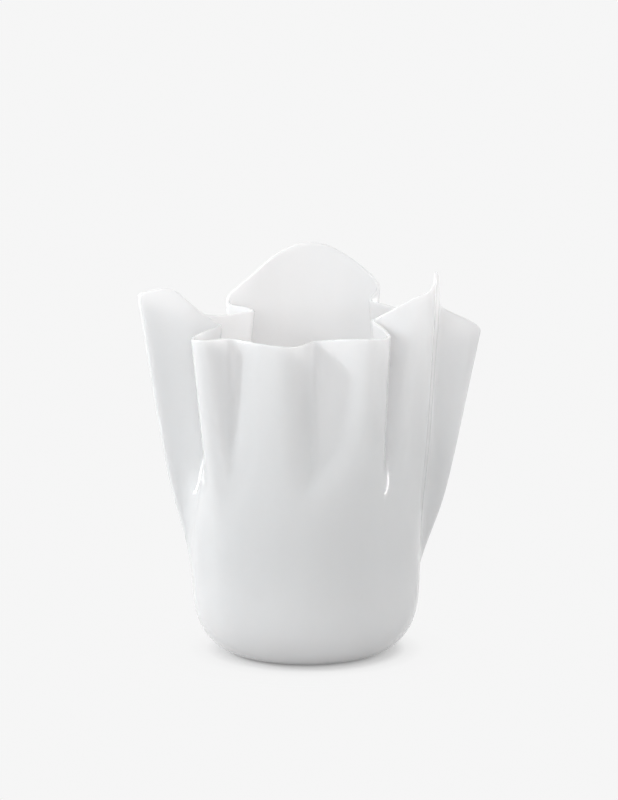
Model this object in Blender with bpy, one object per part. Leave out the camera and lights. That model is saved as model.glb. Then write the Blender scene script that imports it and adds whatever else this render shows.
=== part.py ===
"""Handkerchief vase: one piece of blown white glass whose hot rim has fallen into folds.

Metres, with +Z up. The origin is the centre of the foot's underside, on the table.
Bearings are in degrees, anticlockwise as seen from above, from +X, the vase's right side.
"""

import math
from collections import namedtuple

import bpy
from mathutils import Vector

MM = 0.001

# The gather, blown to a round body that stands on a flat foot
BODY_RADIUS = 80 * MM
FOOT_RADIUS = 44 * MM
SHOULDER_HEIGHT = 46 * MM  # where the rounded base has become an upright wall

# The rounded base, from the flat of the foot outwards: (share of the way out from the
# foot's edge to the body's radius, share of the way up to the shoulder) of each ring
BASE_CURVE = ((-0.2, 0.0), (0.0, 0.0), (0.22, 0.0), (0.63, 0.14), (0.93, 0.5))

# The rim
RIM_HEIGHT = 225 * MM  # the low front of the rim, which a fold's rise adds to

# The glass, thicker where the gather was left at the foot
RIM_WALL = 2.4 * MM
FOOT_WALL = 6.0 * MM
LIP_ROUNDING = 0.8 * MM  # the fire-polished edge of the rim

# How finely the sheet is divided
FOLD_ROWS = 8
SUBDIVISIONS = 1

# A fold swells out of the body over the first ONSET of its line, and from there it runs
# straight to the rim, STRAIGHT of its reach being in proportion to its height.
ONSET = 0.35
STRAIGHT = 0.8
FLANK_SHARE = 0.4  # the most of a flank that one bend may take

# Each fold is a line up the wall. It leaves the round body at body_bearing and the height
# start, and ends at the rim, reach beyond the body's radius and rise above RIM_HEIGHT.
# pinch is how far along both flanks its bend spreads at the rim, or 0 for a soft swelling.
# crown is half the width of a bend that is blunt, or 0.
Fold = namedtuple("Fold", "name rim_bearing reach rise body_bearing start pinch crown")

FOLDS = [
    Fold("right wing", 369, 45 * MM, -3 * MM, 375, 45 * MM, 14 * MM, 3 * MM),
    Fold("right wing back", 392, -1 * MM, 10 * MM, 391, 75 * MM, 0, 0),
    Fold("back right valley", 408, -10 * MM, 15 * MM, 403, 105 * MM, 8 * MM, 0),
    Fold("back lobe right edge", 411, 4 * MM, 24 * MM, 413, 190 * MM, 0, 0),
    Fold("back lobe right side", 422, 8 * MM, 35 * MM, 423, 90 * MM, 0, 0),
    Fold("back lobe right crown", 432, 9 * MM, 44 * MM, 433, 90 * MM, 0, 0),
    Fold("back lobe crown", 446, 8 * MM, 52 * MM, 447, 90 * MM, 0, 0),
    Fold("back lobe left crown", 463, 8 * MM, 45 * MM, 461, 90 * MM, 0, 0),
    Fold("back lobe left side", 475, 9 * MM, 31 * MM, 472, 90 * MM, 0, 0),
    Fold("back lobe left edge", 488, 14 * MM, 13 * MM, 482, 90 * MM, 15 * MM, 2 * MM),
    Fold("back left valley", 488, -17 * MM, 8 * MM, 495, 100 * MM, 9 * MM, 0),
    Fold("left wing back", 510, -4 * MM, 6 * MM, 514, 75 * MM, 0, 0),
    Fold("left wing", 534, 39 * MM, 22 * MM, 537, 58 * MM, 10 * MM, 3 * MM),
    Fold("left wing front", 535, 14 * MM, 28 * MM, 545, 70 * MM, 0, 0),
    Fold("left wing inner side", 534, 0, 17 * MM, 551, 85 * MM, 0, 0),
    Fold("left valley", 529, -18 * MM, 3 * MM, 558, 104 * MM, 8 * MM, 0),
    Fold("front left lobe tip", 570, 10 * MM, 0, 579, 112 * MM, 0, 0),
    Fold("front left lobe", 581, 8 * MM, 1 * MM, 586, 128 * MM, 0, 0),
    Fold("front left lobe side", 580, -1 * MM, 1 * MM, 589, 128 * MM, 0, 0),
    Fold("front left valley", 577, -14 * MM, 0, 593, 128 * MM, 0, 0),
    Fold("front lobe left side", 599, -9 * MM, 0, 602, 128 * MM, 0, 0),
    Fold("front lobe", 615, -6 * MM, -1 * MM, 614, 130 * MM, 0, 0),
    Fold("front lobe right side", 624, -11 * MM, -2 * MM, 622, 130 * MM, 0, 0),
    Fold("front valley", 639, -34 * MM, -1 * MM, 633, 124 * MM, 8 * MM, 0),
    Fold("front right lobe left side", 654, -17 * MM, 2 * MM, 648, 124 * MM, 0, 0),
    Fold("front right lobe", 663, -1 * MM, 3 * MM, 661, 120 * MM, 0, 0),
    Fold("front right lobe right side", 683, -9 * MM, 2 * MM, 669, 120 * MM, 0, 0),
    Fold("right valley", 713, -32 * MM, 9 * MM, 677, 120 * MM, 9 * MM, 0),
    Fold("right lobe flank", 709, -9 * MM, 24 * MM, 690, 112 * MM, 0, 0),
    Fold("right lobe", 708, 9 * MM, 32 * MM, 703, 95 * MM, 8 * MM, 2 * MM),
    Fold("right lobe tip", 715, 11 * MM, 43 * MM, 709, 92 * MM, 0, 0),
    Fold("right wing valley", 727, 15 * MM, 16 * MM, 717, 90 * MM, 9 * MM, 0),
]

Column = namedtuple("Column", "bearing start rim")


def on_circle(bearing, radius, height):
    """The point at a bearing in degrees, a distance from the axis and a height."""
    turn = math.radians(bearing)
    return Vector((radius * math.cos(turn), radius * math.sin(turn), height))


def rim_point(fold):
    """Where a fold's line ends on the rim."""
    return on_circle(fold.rim_bearing, BODY_RADIUS + fold.reach, RIM_HEIGHT + fold.rise)


def column_along(fold, other, distance, sideways=Vector((0, 0, 0))):
    """The column that stands at a distance from a fold, along its flank to the next one."""
    flank = rim_point(other) - rim_point(fold)
    share = min(distance / flank.length, FLANK_SHARE)
    turn = (other.body_bearing - fold.body_bearing + 180) % 360 - 180
    body_share = min(distance / (BODY_RADIUS * math.radians(abs(turn))), FLANK_SHARE)
    start = fold.start + body_share * (other.start - fold.start)
    return Column(fold.body_bearing + body_share * turn, start, rim_point(fold) + share * flank + sideways)


def columns_of(before, fold, after):
    """The columns of one fold: its crest, and where it is pinched the flanks beside it."""
    if not fold.pinch:
        return [Column(fold.body_bearing, fold.start, rim_point(fold))]
    ahead = (rim_point(after) - rim_point(fold)).normalized()
    behind = (rim_point(before) - rim_point(fold)).normalized()
    across = (ahead - behind).normalized() * fold.crown
    left = column_along(fold, before, fold.pinch, -across)
    right = column_along(fold, after, fold.pinch, across)
    if not fold.crown:
        return [left, Column(fold.body_bearing, fold.start, rim_point(fold)), right]
    near_left = column_along(fold, before, fold.crown, -across)
    near_right = column_along(fold, after, fold.crown, across)
    return [left, near_left, near_right, right]


def all_columns():
    """Every column of the sheet, once round the vase."""
    found = []
    for i, fold in enumerate(FOLDS):
        found += columns_of(FOLDS[i - 1], fold, FOLDS[(i + 1) % len(FOLDS)])
    return found


def grown(share):
    """How far a fold has grown to its place at the rim, this share of the way up its line."""
    share = min(max(share, 0.0), 1.0)
    swell = min(share / ONSET, 1.0)
    return STRAIGHT * share + (1 - STRAIGHT) * swell * swell * (3 - 2 * swell)


def held(ring):
    """A ring of cage points whose smoothed curve runs through the given ring, or nearly."""
    cage = []
    for i, point in enumerate(ring):
        before, after = ring[i - 1], ring[(i + 1) % len(ring)]
        along = (after - before).normalized()
        lift = (2 * point - before - after) / 4
        cage.append(point + lift - along * lift.dot(along))
    return cage


def column_bearing(column, even, height):
    """Where a column stands at a height: evenly spaced at the foot, and nearer its fold further up."""
    return even + min(height / column.start, 1.0) * (column.bearing - even)


def base_rows():
    """(radius, height) of each ring below the shoulder, from the foot outwards."""
    spread = BODY_RADIUS - FOOT_RADIUS
    return [(FOOT_RADIUS + out * spread, up * SHOULDER_HEIGHT) for out, up in BASE_CURVE]


def sheet_rows():
    """The cage of the sheet: rings of points from the foot to the rim."""
    columns = all_columns()
    step = 360 / len(columns)
    drift = sum(c.bearing - step * i for i, c in enumerate(columns)) / len(columns)
    evens = [drift + step * i for i in range(len(columns))]
    rings = []
    for radius, height in base_rows():
        ring = [on_circle(column_bearing(c, e, height), radius, height) for c, e in zip(columns, evens)]
        rings.append(held(ring))
    for row in range(FOLD_ROWS):
        ring = []
        for column, even in zip(columns, evens):
            height = SHOULDER_HEIGHT + row / (FOLD_ROWS - 1) * (column.rim.z - SHOULDER_HEIGHT)
            growth = grown((height - column.start) / (column.rim.z - column.start))
            body = on_circle(column_bearing(column, even, height), BODY_RADIUS, height)
            ring.append(body.lerp(Vector((column.rim.x, column.rim.y, height)), growth))
        rings.append(held(ring))
    return rings


def glass(name):
    """White opal glass, opaque and fire-polished."""
    material = bpy.data.materials.new(name)
    material.use_nodes = True
    shader = material.node_tree.nodes["Principled BSDF"]
    shader.inputs["Base Color"].default_value = (0.85, 0.85, 0.85, 1.0)
    shader.inputs["Roughness"].default_value = 0.08
    shader.inputs["Metallic"].default_value = 0.0
    shader.inputs["IOR"].default_value = 1.5
    return material


def make_sheet(name):
    """The folded sheet of glass with no thickness, as a mesh of four-sided faces."""
    rings = sheet_rows()
    count = len(rings[0])
    points = [point for ring in rings for point in ring]
    faces = [tuple(reversed(range(count)))]
    for row in range(len(rings) - 1):
        low = row * count
        high = low + count
        for i in range(count):
            after = (i + 1) % count
            faces.append((low + i, low + after, high + after, high + i))
    mesh = bpy.data.meshes.new(name)
    mesh.from_pydata(points, [], faces)
    mesh.update()
    sheet = bpy.data.objects.new(name, mesh)
    bpy.context.collection.objects.link(sheet)
    thin = RIM_WALL / FOOT_WALL
    thickness = sheet.vertex_groups.new(name="thickness")
    base = len(base_rows())
    for row in range(len(rings)):
        up = min(row / (base + 1), 1.0)
        thickness.add(list(range(row * count, (row + 1) * count)), 1 - up * (1 - thin), "REPLACE")
    return sheet


def thicken(sheet):
    """Smooths the sheet and gives it its wall and its polished lip."""
    smooth = sheet.modifiers.new("smooth", "SUBSURF")
    smooth.levels = smooth.render_levels = SUBDIVISIONS
    wall = sheet.modifiers.new("wall", "SOLIDIFY")
    wall.thickness = FOOT_WALL
    wall.offset = -1
    wall.vertex_group = "thickness"
    wall.use_even_offset = True
    wall.use_quality_normals = True
    lip = sheet.modifiers.new("lip", "BEVEL")
    lip.width = LIP_ROUNDING
    lip.segments = 1
    lip.limit_method = "ANGLE"
    lip.angle_limit = math.radians(60)


def main():
    for old in list(bpy.data.objects):
        bpy.data.objects.remove(old)
    vase = make_sheet("vase")
    vase.data.materials.append(glass("white_opal_glass"))
    vase.data.shade_smooth()
    thicken(vase)


main()
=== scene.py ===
"""A handkerchief vase of blown white opal glass, on a plain pale floor.

Metres, with +Z up. The origin is the centre of the foot's underside, on the floor.
Bearings are in degrees, anticlockwise as seen from above, from +X, the vase's right side.
"""

import math
from collections import namedtuple

import bpy
from mathutils import Matrix, Vector


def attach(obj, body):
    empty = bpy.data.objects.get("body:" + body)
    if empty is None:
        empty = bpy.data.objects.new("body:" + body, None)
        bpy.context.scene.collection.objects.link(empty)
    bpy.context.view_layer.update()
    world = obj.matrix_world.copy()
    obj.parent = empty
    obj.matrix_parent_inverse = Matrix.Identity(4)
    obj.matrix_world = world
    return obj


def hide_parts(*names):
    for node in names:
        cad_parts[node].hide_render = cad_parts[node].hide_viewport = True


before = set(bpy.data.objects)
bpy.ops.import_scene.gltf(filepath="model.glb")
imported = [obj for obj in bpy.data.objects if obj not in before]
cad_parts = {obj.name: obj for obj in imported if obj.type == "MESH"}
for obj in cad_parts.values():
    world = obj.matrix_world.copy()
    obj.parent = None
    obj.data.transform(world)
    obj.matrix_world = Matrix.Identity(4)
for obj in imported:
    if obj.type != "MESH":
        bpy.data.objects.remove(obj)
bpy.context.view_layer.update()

# The vase
# A bubble of opal white glass, blown to a round body, opened and heated again, so that its
# hot wall fell into seven folded lobes. It is one piece: the foot is ground flat, and the
# rim is polished round by the fire. The opal glass scatters light through its own depth.

MM = 0.001
BODY_RADIUS = 80 * MM
FOOT_RADIUS = 44 * MM
SHOULDER_HEIGHT = 46 * MM  # where the rounded base has become an upright wall
RIM_HEIGHT = 225 * MM  # the low front of the rim, which a fold's rise adds to
RIM_WALL = 2.4 * MM
FOOT_WALL = 6.0 * MM
LIP_ROUNDING = 1.1 * MM
LIP_STEPS = 4
LIP_ANGLE = math.radians(60)  # an edge sharper than this is a lip

FOLD_ROWS = 8
SMOOTHNESS = 3
DRAWN_IN = (0.999, 0.9998, 0.9999)  # a hair smaller, so that smooth bends don't widen the vase

# A fold swells out of the body over the first ONSET of its line, and from there it runs
# straight to the rim, STRAIGHT of its reach being in proportion to its height.
ONSET = 0.35
STRAIGHT = 0.8
FLANK_SHARE = 0.4  # the most of a flank that one bend may take

# Each fold is a line up the wall. It leaves the round body at body_bearing and the height
# start, and ends at the rim, reach beyond the body's radius and rise above RIM_HEIGHT.
# pinch is how far along both flanks its bend spreads at the rim, or 0 for a soft swelling.
# crown is half the width of a bend that is blunt, or 0.
Fold = namedtuple("Fold", "name rim_bearing reach rise body_bearing start pinch crown")

FOLDS = [
    Fold("right wing", 369, 45 * MM, -3 * MM, 375, 45 * MM, 14 * MM, 3 * MM),
    Fold("right wing back", 392, -1 * MM, 10 * MM, 391, 75 * MM, 0, 0),
    Fold("back right valley", 408, -10 * MM, 15 * MM, 403, 105 * MM, 8 * MM, 0),
    Fold("back lobe right edge", 411, 4 * MM, 24 * MM, 413, 190 * MM, 0, 0),
    Fold("back lobe right side", 422, 8 * MM, 35 * MM, 423, 90 * MM, 0, 0),
    Fold("back lobe right crown", 432, 9 * MM, 44 * MM, 433, 90 * MM, 0, 0),
    Fold("back lobe crown", 446, 8 * MM, 52 * MM, 447, 90 * MM, 0, 0),
    Fold("back lobe left crown", 463, 8 * MM, 45 * MM, 461, 90 * MM, 0, 0),
    Fold("back lobe left side", 475, 9 * MM, 31 * MM, 472, 90 * MM, 0, 0),
    Fold("back lobe left edge", 488, 14 * MM, 13 * MM, 482, 90 * MM, 15 * MM, 2 * MM),
    Fold("back left valley", 488, -17 * MM, 8 * MM, 495, 100 * MM, 9 * MM, 0),
    Fold("left wing back", 510, -4 * MM, 6 * MM, 514, 75 * MM, 0, 0),
    Fold("left wing", 534, 39 * MM, 22 * MM, 537, 58 * MM, 10 * MM, 3 * MM),
    Fold("left wing front", 535, 14 * MM, 28 * MM, 545, 70 * MM, 0, 0),
    Fold("left wing inner side", 534, 0, 17 * MM, 551, 85 * MM, 0, 0),
    Fold("left valley", 529, -18 * MM, 3 * MM, 558, 104 * MM, 8 * MM, 0),
    Fold("front left lobe tip", 570, 10 * MM, 0, 579, 112 * MM, 0, 0),
    Fold("front left lobe", 581, 8 * MM, 1 * MM, 586, 128 * MM, 0, 0),
    Fold("front left lobe side", 580, -1 * MM, 1 * MM, 589, 128 * MM, 0, 0),
    Fold("front left valley", 577, -14 * MM, 0, 593, 128 * MM, 0, 0),
    Fold("front lobe left side", 599, -9 * MM, 0, 602, 128 * MM, 0, 0),
    Fold("front lobe", 615, -6 * MM, -1 * MM, 614, 130 * MM, 0, 0),
    Fold("front lobe right side", 624, -11 * MM, -2 * MM, 622, 130 * MM, 0, 0),
    Fold("front valley", 639, -34 * MM, -1 * MM, 633, 124 * MM, 16 * MM, 0),
    Fold("front right lobe left side", 654, -17 * MM, 2 * MM, 648, 124 * MM, 0, 0),
    Fold("front right lobe", 663, -1 * MM, 3 * MM, 661, 120 * MM, 0, 0),
    Fold("front right lobe right side", 683, -9 * MM, 2 * MM, 669, 120 * MM, 0, 0),
    Fold("right valley", 713, -32 * MM, 9 * MM, 677, 120 * MM, 9 * MM, 0),
    Fold("right lobe flank", 706, -6 * MM, 24 * MM, 690, 112 * MM, 0, 0),
    Fold("right lobe", 708, 9 * MM, 32 * MM, 703, 95 * MM, 8 * MM, 2 * MM),
    Fold("right lobe tip", 715, 11 * MM, 43 * MM, 709, 92 * MM, 0, 0),
    Fold("right wing valley", 727, 15 * MM, 16 * MM, 717, 90 * MM, 9 * MM, 0),
]

# (radius, height) of each ring below the shoulder, from the foot outwards
BASE_SPREAD = BODY_RADIUS - FOOT_RADIUS
BASE_ROWS = [
    (FOOT_RADIUS - 0.2 * BASE_SPREAD, 0.0),
    (FOOT_RADIUS, 0.0),
    (FOOT_RADIUS + 0.22 * BASE_SPREAD, 0.0),
    (FOOT_RADIUS + 0.63 * BASE_SPREAD, 0.14 * SHOULDER_HEIGHT),
    (FOOT_RADIUS + 0.93 * BASE_SPREAD, 0.5 * SHOULDER_HEIGHT),
]

Column = namedtuple("Column", "bearing start rim")


def rim_point(fold):
    """Where a fold's line ends on the rim."""
    turn = math.radians(fold.rim_bearing)
    radius = BODY_RADIUS + fold.reach
    return Vector((radius * math.cos(turn), radius * math.sin(turn), RIM_HEIGHT + fold.rise))


def column_along(fold, other, distance, sideways=Vector((0, 0, 0))):
    """The column that stands at a distance from a fold, along its flank to the next one."""
    flank = rim_point(other) - rim_point(fold)
    share = min(distance / flank.length, FLANK_SHARE)
    turn = (other.body_bearing - fold.body_bearing + 180) % 360 - 180
    body_share = min(distance / (BODY_RADIUS * math.radians(abs(turn))), FLANK_SHARE)
    bearing = fold.body_bearing + body_share * turn
    start = fold.start + body_share * (other.start - fold.start)
    return Column(bearing, start, rim_point(fold) + share * flank + sideways)


def columns_of(before, fold, after):
    """The columns of one fold: its crest, and where it is pinched the flanks beside it."""
    if not fold.pinch:
        return [Column(fold.body_bearing, fold.start, rim_point(fold))]
    ahead = (rim_point(after) - rim_point(fold)).normalized()
    behind = (rim_point(before) - rim_point(fold)).normalized()
    across = (ahead - behind).normalized() * fold.crown
    left = column_along(fold, before, fold.pinch, -across)
    right = column_along(fold, after, fold.pinch, across)
    if not fold.crown:
        return [left, Column(fold.body_bearing, fold.start, rim_point(fold)), right]
    near_left = column_along(fold, before, fold.crown, -across)
    near_right = column_along(fold, after, fold.crown, across)
    return [left, near_left, near_right, right]


def sheet_lattice(name):
    """The sheet before it is shaped: rings of points that know their fold, row by row."""
    columns = []
    for i, fold in enumerate(FOLDS):
        columns += columns_of(FOLDS[i - 1], fold, FOLDS[(i + 1) % len(FOLDS)])
    count = len(columns)
    step = 360 / count
    drift = sum(column.bearing - step * i for i, column in enumerate(columns)) / count

    points = {"even": [], "bearing": [], "start": [], "radius": [], "height": [], "rim": []}

    def add(i, column, radius, height):
        points["even"].append(math.radians(drift + step * i))
        points["bearing"].append(math.radians(column.bearing))
        points["start"].append(column.start)
        points["radius"].append(radius)
        points["height"].append(height)
        points["rim"].append(column.rim)

    for radius, height in BASE_ROWS:
        for i, column in enumerate(columns):
            add(i, column, radius, height)
    for row in range(FOLD_ROWS):
        for i, column in enumerate(columns):
            climb = row / (FOLD_ROWS - 1) * (column.rim.z - SHOULDER_HEIGHT)
            add(i, column, BODY_RADIUS, SHOULDER_HEIGHT + climb)

    rows = len(BASE_ROWS) + FOLD_ROWS
    foot = tuple(reversed(range(count)))
    faces = [foot]
    for low in range(rows - 1):
        for i in range(count):
            here = low * count + i
            beside = low * count + (i + 1) % count
            faces.append((here, beside, beside + count, here + count))
    mesh = bpy.data.meshes.new(name)
    mesh.from_pydata([(0, 0, 0)] * (rows * count), [], faces)
    mesh.update()
    for key, values in points.items():
        if key == "rim":
            stored = mesh.attributes.new(key, "FLOAT_VECTOR", "POINT")
            stored.data.foreach_set("vector", [number for value in values for number in value])
        else:
            stored = mesh.attributes.new(key, "FLOAT", "POINT")
            stored.data.foreach_set("value", values)
    sheet = bpy.data.objects.new(name, mesh)
    bpy.context.collection.objects.link(sheet)

    # The glass is thickest under the foot, and has thinned to the rim's wall at the shoulder
    thickness = sheet.vertex_groups.new(name="thickness")
    for row in range(rows):
        up = min(row / (len(BASE_ROWS) + 1), 1.0)
        ring = list(range(row * count, (row + 1) * count))
        thickness.add(ring, 1 - up * (1 - RIM_WALL / FOOT_WALL), "REPLACE")
    return sheet, count


def put(tree, kind, inputs=None, **settings):
    """A node put in a tree, with its settings, and a value or a link for each input named."""
    made = tree.nodes.new(kind)
    for key, value in settings.items():
        setattr(made, key, value)
    for key, value in (inputs or {}).items():
        if isinstance(value, bpy.types.NodeSocket):
            tree.links.new(value, made.inputs[key])
        else:
            made.inputs[key].default_value = value
    return made


def folding_tree():
    """The nodes that fold the lattice: body, folds, a hold on the curves, smoothing."""
    tree = bpy.data.node_groups.new("folded glass", "GeometryNodeTree")
    for name, kind in (
        ("Lattice", "NodeSocketGeometry"),
        ("Columns", "NodeSocketInt"),
        ("Onset", "NodeSocketFloat"),
        ("Straight", "NodeSocketFloat"),
        ("Smoothness", "NodeSocketInt"),
        ("Glass", "NodeSocketMaterial"),
    ):
        tree.interface.new_socket(name, in_out="INPUT", socket_type=kind)
    tree.interface.new_socket("Vase", in_out="OUTPUT", socket_type="NodeSocketGeometry")
    given = put(tree, "NodeGroupInput").outputs

    def stored(name, kind="FLOAT"):
        made = put(tree, "GeometryNodeInputNamedAttribute", {"Name": name}, data_type=kind)
        return made.outputs["Attribute"]

    def vector_maths(operation, first, second):
        made = put(tree, "ShaderNodeVectorMath", {0: first, 1: second}, operation=operation)
        return made.outputs["Vector"]

    def half_of(vector):
        made = put(tree, "ShaderNodeVectorMath", {0: vector, "Scale": 0.5}, operation="SCALE")
        return made.outputs["Vector"]

    def whole_maths(operation, first, second):
        made = put(tree, "FunctionNodeIntegerMath", {0: first, 1: second}, operation=operation)
        return made.outputs[0]

    # The round body: every column fans in from its even place at the foot to its fold
    height = stored("height")
    start = stored("start")
    climbed = put(tree, "ShaderNodeMath", {0: height, 1: start}, operation="DIVIDE").outputs[0]
    bearing = put(
        tree, "ShaderNodeMix", {"Factor": climbed, "A": stored("even"), "B": stored("bearing")}
    ).outputs["Result"]
    spoke = put(tree, "ShaderNodeCombineXYZ", {"X": stored("radius"), "Z": height})
    body = put(
        tree,
        "ShaderNodeVectorRotate",
        {"Vector": spoke.outputs["Vector"], "Angle": bearing},
        rotation_type="Z_AXIS",
    )

    # The fold: from its start it grows out of the body until it reaches its place on the rim
    rim = put(tree, "ShaderNodeSeparateXYZ", {"Vector": stored("rim", "FLOAT_VECTOR")}).outputs
    share = put(
        tree, "ShaderNodeMapRange", {"Value": height, "From Min": start, "From Max": rim["Z"]}
    ).outputs["Result"]
    swell = put(
        tree,
        "ShaderNodeMapRange",
        {"Value": share, "From Max": given["Onset"]},
        interpolation_type="SMOOTHSTEP",
    ).outputs["Result"]
    growth = put(
        tree, "ShaderNodeMix", {"Factor": given["Straight"], "A": swell, "B": share}
    ).outputs["Result"]
    above = put(tree, "ShaderNodeCombineXYZ", {"X": rim["X"], "Y": rim["Y"], "Z": height})
    folded = put(
        tree,
        "ShaderNodeMix",
        {"Factor": growth, 4: body.outputs["Vector"], 5: above.outputs["Vector"]},
        data_type="VECTOR",
    ).outputs[1]
    shaped = put(tree, "GeometryNodeSetPosition", {"Geometry": given["Lattice"], "Position": folded})

    # The hold: each point steps outwards, so that the smoothed ring still runs through it
    columns = given["Columns"]
    index = put(tree, "GeometryNodeInputIndex").outputs["Index"]
    row = whole_maths("MULTIPLY", whole_maths("DIVIDE_FLOOR", index, columns), columns)
    place = whole_maths("SUBTRACT", index, row)
    last = whole_maths("SUBTRACT", whole_maths("ADD", place, columns), 1)
    before = whole_maths("MODULO", last, columns)
    after = whole_maths("MODULO", whole_maths("ADD", place, 1), columns)
    here = put(tree, "GeometryNodeInputPosition").outputs["Position"]
    neighbours = []
    for beside in (before, after):
        at = put(
            tree,
            "GeometryNodeFieldAtIndex",
            {"Index": whole_maths("ADD", row, beside)},
            data_type="FLOAT_VECTOR",
            domain="POINT",
        )
        tree.links.new(here, at.inputs["Value"])
        neighbours.append(at.outputs["Value"])
    middle = half_of(vector_maths("ADD", *neighbours))
    lift = half_of(vector_maths("SUBTRACT", here, middle))
    along = vector_maths("PROJECT", lift, vector_maths("SUBTRACT", neighbours[1], neighbours[0]))
    step = vector_maths("SUBTRACT", lift, along)
    held = put(
        tree, "GeometryNodeSetPosition", {"Geometry": shaped.outputs["Geometry"], "Offset": step}
    )

    smoothed = put(
        tree,
        "GeometryNodeSubdivisionSurface",
        {"Mesh": held.outputs["Geometry"], "Level": given["Smoothness"], "Limit Surface": True},
    )
    shaded = put(tree, "GeometryNodeSetShadeSmooth", {"Geometry": smoothed.outputs["Mesh"]})
    real = put(tree, "GeometryNodeRealizeInstances", {"Geometry": shaded.outputs["Geometry"]})
    made = put(
        tree,
        "GeometryNodeSetMaterial",
        {"Geometry": real.outputs["Geometry"], "Material": given["Glass"]},
    )
    put(tree, "NodeGroupOutput", {"Vase": made.outputs["Geometry"]})
    return tree


GLASS_IOR = 1.5
SCATTER_DEPTH = 10 * MM  # how far light spreads inside the milky glass
SCATTER_TINT = (1.0, 0.95, 0.93)
THIN_MILK = (0.852, 0.845, 0.848, 1.0)
THICK_MILK = (0.878, 0.871, 0.874, 1.0)
CLOUD_SCALE = 22.0
DRAWN_UP = (1.0, 1.0, 0.35)  # clouds and waves are drawn out upwards, as the glass was
POLISH_SCALE = 14.0
BEST_POLISH = 0.02
WORST_POLISH = 0.05
WAVE_SCALE = 38.0
WAVE_HEIGHT = 1.2 * MM
WAVE_STRENGTH = 0.35


def opal_glass(name):
    """White opal glass: a milky body under a fire-polished skin with its long soft waves."""
    material = bpy.data.materials.new(name)
    material.use_nodes = True
    tree = material.node_tree
    shader = tree.nodes["Principled BSDF"]
    shader.inputs["IOR"].default_value = GLASS_IOR
    shader.inputs["Subsurface Weight"].default_value = 1.0
    shader.inputs["Subsurface Radius"].default_value = SCATTER_TINT
    shader.inputs["Subsurface Scale"].default_value = SCATTER_DEPTH
    place = put(tree, "ShaderNodeTexCoord").outputs["Object"]

    # The milk of the glass lies in faint drawn-up clouds
    drawn = put(tree, "ShaderNodeMapping", {"Vector": place, "Scale": DRAWN_UP}).outputs["Vector"]
    clouds = put(
        tree, "ShaderNodeTexNoise", {"Vector": drawn, "Scale": CLOUD_SCALE, "Detail": 3.0}
    ).outputs["Fac"]
    milk = put(tree, "ShaderNodeValToRGB", {"Fac": clouds})
    thin, thick = milk.color_ramp.elements
    thin.position = 0.3
    thin.color = THIN_MILK
    thick.position = 0.7
    thick.color = THICK_MILK
    tree.links.new(milk.outputs["Color"], shader.inputs["Base Color"])

    # The polish is a little duller in patches
    patches = put(
        tree, "ShaderNodeTexNoise", {"Vector": place, "Scale": POLISH_SCALE, "Detail": 2.0}
    ).outputs["Fac"]
    gloss = put(
        tree,
        "ShaderNodeMapRange",
        {"Value": patches, "To Min": BEST_POLISH, "To Max": WORST_POLISH},
    ).outputs["Result"]
    tree.links.new(gloss, shader.inputs["Roughness"])

    # Long waves were left by the blowing
    waves = put(
        tree, "ShaderNodeTexNoise", {"Vector": drawn, "Scale": WAVE_SCALE, "Detail": 1.0}
    ).outputs["Fac"]
    bump = put(
        tree,
        "ShaderNodeBump",
        {"Height": waves, "Strength": WAVE_STRENGTH, "Distance": WAVE_HEIGHT},
    )
    tree.links.new(bump.outputs["Normal"], shader.inputs["Normal"])
    return material


sheet, column_count = sheet_lattice("folded_glass")
fold_nodes = folding_tree()
folding = sheet.modifiers.new("folding", "NODES")
folding.node_group = fold_nodes
fold_values = {
    "Columns": column_count,
    "Onset": ONSET,
    "Straight": STRAIGHT,
    "Smoothness": SMOOTHNESS,
    "Glass": opal_glass("opal_white_glass"),
}
for item in fold_nodes.interface.items_tree:
    if item.in_out == "INPUT" and item.name in fold_values:
        folding[item.identifier] = fold_values[item.name]

wall = sheet.modifiers.new("wall", "SOLIDIFY")
wall.thickness = FOOT_WALL
wall.offset = -1
wall.vertex_group = "thickness"
wall.use_even_offset = True
wall.use_quality_normals = True

lip = sheet.modifiers.new("lip", "BEVEL")
lip.width = LIP_ROUNDING
lip.segments = LIP_STEPS
lip.limit_method = "ANGLE"
lip.angle_limit = LIP_ANGLE

graph = bpy.context.evaluated_depsgraph_get()
finished = bpy.data.meshes.new_from_object(sheet.evaluated_get(graph))
sheet.modifiers.clear()
sheet.data = finished
finished.transform(Matrix.Diagonal((*DRAWN_IN, 1.0)))
for leftover in ("even", "bearing", "start", "radius", "height", "rim"):
    if leftover in finished.attributes:
        finished.attributes.remove(finished.attributes[leftover])

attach(sheet, "root")
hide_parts("vase")

# The floor
# A matt white studio sweep. Seen directly it fades into the pale background, and it keeps
# the vase's own shadow.

FLOOR_HALF = 4.0
PALE = 0.92  # the background's level, from 0 for black to 1 for white
LIT_TONE = 0.5  # how much light the floor throws back on the vase
SEEN_TONE = 0.72  # its own tone where it is seen

# How the shadow fades: (metres from the vase's axis, share of the plain pale tone)
SHADOW_FADE = ((0.046, 0.15), (0.06, 0.45), (0.073, 0.88), (0.084, 0.985), (0.11, 1.0))


def seen_straight(tree):
    """1 for the rays that see the background directly, in a gloss or through glass."""
    rays = put(tree, "ShaderNodeLightPath").outputs
    seen = rays["Is Camera Ray"]
    for kind in ("Is Glossy Ray", "Is Transmission Ray"):
        seen = put(tree, "ShaderNodeMath", {0: seen, 1: rays[kind]}, operation="MAXIMUM").outputs[0]
    return seen


floor_mesh = bpy.data.meshes.new("floor")
corners = [(-1, -1), (1, -1), (1, 1), (-1, 1)]
floor_mesh.from_pydata([(x * FLOOR_HALF, y * FLOOR_HALF, 0) for x, y in corners], [], [(0, 1, 2, 3)])
floor = bpy.data.objects.new("floor", floor_mesh)
bpy.context.collection.objects.link(floor)

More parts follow.
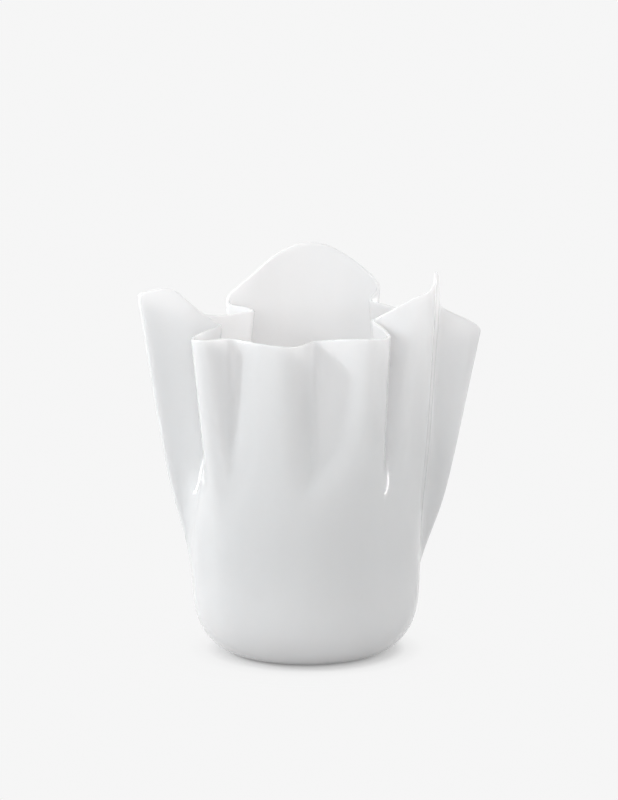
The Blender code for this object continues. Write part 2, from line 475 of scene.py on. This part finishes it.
floor_material = bpy.data.materials.new("studio_floor")
floor_material.use_nodes = True
tree = floor_material.node_tree
tree.nodes.clear()
seen = seen_straight(tree)
tone = put(tree, "ShaderNodeMapRange", {"Value": seen, "To Min": LIT_TONE, "To Max": SEEN_TONE})
matt = put(tree, "ShaderNodeBsdfDiffuse", {"Color": tone.outputs["Result"]})
pale = put(tree, "ShaderNodeEmission", {"Color": (PALE, PALE, PALE, 1.0), "Strength": 1.0})
place = put(tree, "ShaderNodeTexCoord").outputs["Object"]
away = put(tree, "ShaderNodeVectorMath", {0: place}, operation="LENGTH").outputs["Value"]
fade = put(tree, "ShaderNodeValToRGB", {"Fac": away})
fade.color_ramp.interpolation = "EASE"
while len(fade.color_ramp.elements) < len(SHADOW_FADE):
    fade.color_ramp.elements.new(1.0)
for stop, (distance, plain) in zip(fade.color_ramp.elements, SHADOW_FADE):
    stop.position = distance
    stop.color = (plain, plain, plain, 1.0)
share = put(tree, "ShaderNodeMath", {0: fade.outputs["Color"], 1: seen}, operation="MULTIPLY")
surface = put(
    tree,
    "ShaderNodeMixShader",
    {"Fac": share.outputs[0], 1: matt.outputs["BSDF"], 2: pale.outputs["Emission"]},
)
put(tree, "ShaderNodeOutputMaterial", {"Surface": surface.outputs["Shader"]})
floor_mesh.materials.append(floor_material)

# The light
# A pale room whose front and far walls glow, so that the thin glass is also lit from behind,
# a compact key lamp on the left, and a tall strip behind the vase on either side, which draw
# the lines of light in the folds.

FRONT_GLOW = 1.92
FAR_GLOW = 1.05
GLOW_FALL = 3.0  # how fast a wall's glow falls off away from its middle
LAMP_AIM = Vector((0, 0, 200 * MM))
COOL_WHITE = (0.95, 0.98, 1.0)
PLAIN_WHITE = (1.0, 1.0, 1.0)


def lamp(name, place, width, height, power, colour):
    """A rectangular lamp, aimed at the folds."""
    light = bpy.data.lights.new(name, "AREA")
    light.shape = "RECTANGLE"
    light.size = width
    light.size_y = height
    light.energy = power
    light.color = colour
    made = bpy.data.objects.new(name, light)
    made.location = place
    made.rotation_mode = "QUATERNION"
    made.rotation_quaternion = (LAMP_AIM - Vector(place)).to_track_quat("-Z", "Y")
    bpy.context.collection.objects.link(made)


def wall_glow(tree, direction, toward, level):
    """The glow of one wall of the room, level at its middle."""
    facing = put(tree, "ShaderNodeVectorMath", {0: direction, 1: toward}, operation="DOT_PRODUCT")
    turned = put(tree, "ShaderNodeMapRange", {"Value": facing.outputs["Value"], "From Min": -1.0})
    fallen = put(
        tree, "ShaderNodeMath", {0: turned.outputs["Result"], 1: GLOW_FALL}, operation="POWER"
    )
    return put(
        tree, "ShaderNodeMath", {0: fallen.outputs[0], 1: level}, operation="MULTIPLY"
    ).outputs[0]


lamp("key_lamp", (-1.54, -0.33, 0.92), width=0.15, height=0.3, power=9.5, colour=COOL_WHITE)
lamp("left_strip", (-1.35, 0.75, 0.45), width=0.14, height=1.1, power=12.0, colour=PLAIN_WHITE)
lamp("right_strip", (1.5, 0.6, 0.4), width=0.04, height=1.0, power=5.5, colour=PLAIN_WHITE)

room = bpy.data.worlds.new("room")
bpy.context.scene.world = room
room.use_nodes = True
tree = room.node_tree
background = tree.nodes["Background"]
background.inputs["Color"].default_value = (*PLAIN_WHITE, 1.0)
direction = put(tree, "ShaderNodeTexCoord").outputs["Generated"]
front = wall_glow(tree, direction, (0, -1, 0), FRONT_GLOW)
far = wall_glow(tree, direction, (0, 1, 0), FAR_GLOW)
level = put(tree, "ShaderNodeMath", {0: front, 1: far}, operation="ADD").outputs[0]
strength = put(
    tree, "ShaderNodeMapRange", {"Value": seen_straight(tree), "To Min": level, "To Max": PALE}
)
tree.links.new(strength.outputs["Result"], background.inputs["Strength"])

# The camera
# It stands 2 m away at the photograph's height, and looks down at the vase by 9 degrees.

METRES_PER_PIXEL = 0.694 * MM
PICTURE_HEIGHT = 800
RIGHT_OF_AXIS = 3  # pixels from the vase's axis to the picture's middle
ABOVE_FOOT = 251  # pixels from the foot's centre up to the picture's middle
LOOKING_DOWN = math.radians(9)
DISTANCE = 2.0
SENSOR = 36.0

view = bpy.data.cameras.new("camera")
view.sensor_width = SENSOR
view.lens = SENSOR / (PICTURE_HEIGHT * METRES_PER_PIXEL) * DISTANCE
camera = bpy.data.objects.new("camera", view)
bpy.context.collection.objects.link(camera)
toward = Vector((0, -math.cos(LOOKING_DOWN), math.sin(LOOKING_DOWN)))
up = ABOVE_FOOT * METRES_PER_PIXEL / math.cos(LOOKING_DOWN)
middle = Vector((RIGHT_OF_AXIS * METRES_PER_PIXEL, 0, up))
camera.location = middle + DISTANCE * toward
camera.rotation_mode = "QUATERNION"
camera.rotation_quaternion = (-toward).to_track_quat("-Z", "Y")
bpy.context.scene.camera = camera
bpy.context.scene.view_settings.view_transform = "Standard"
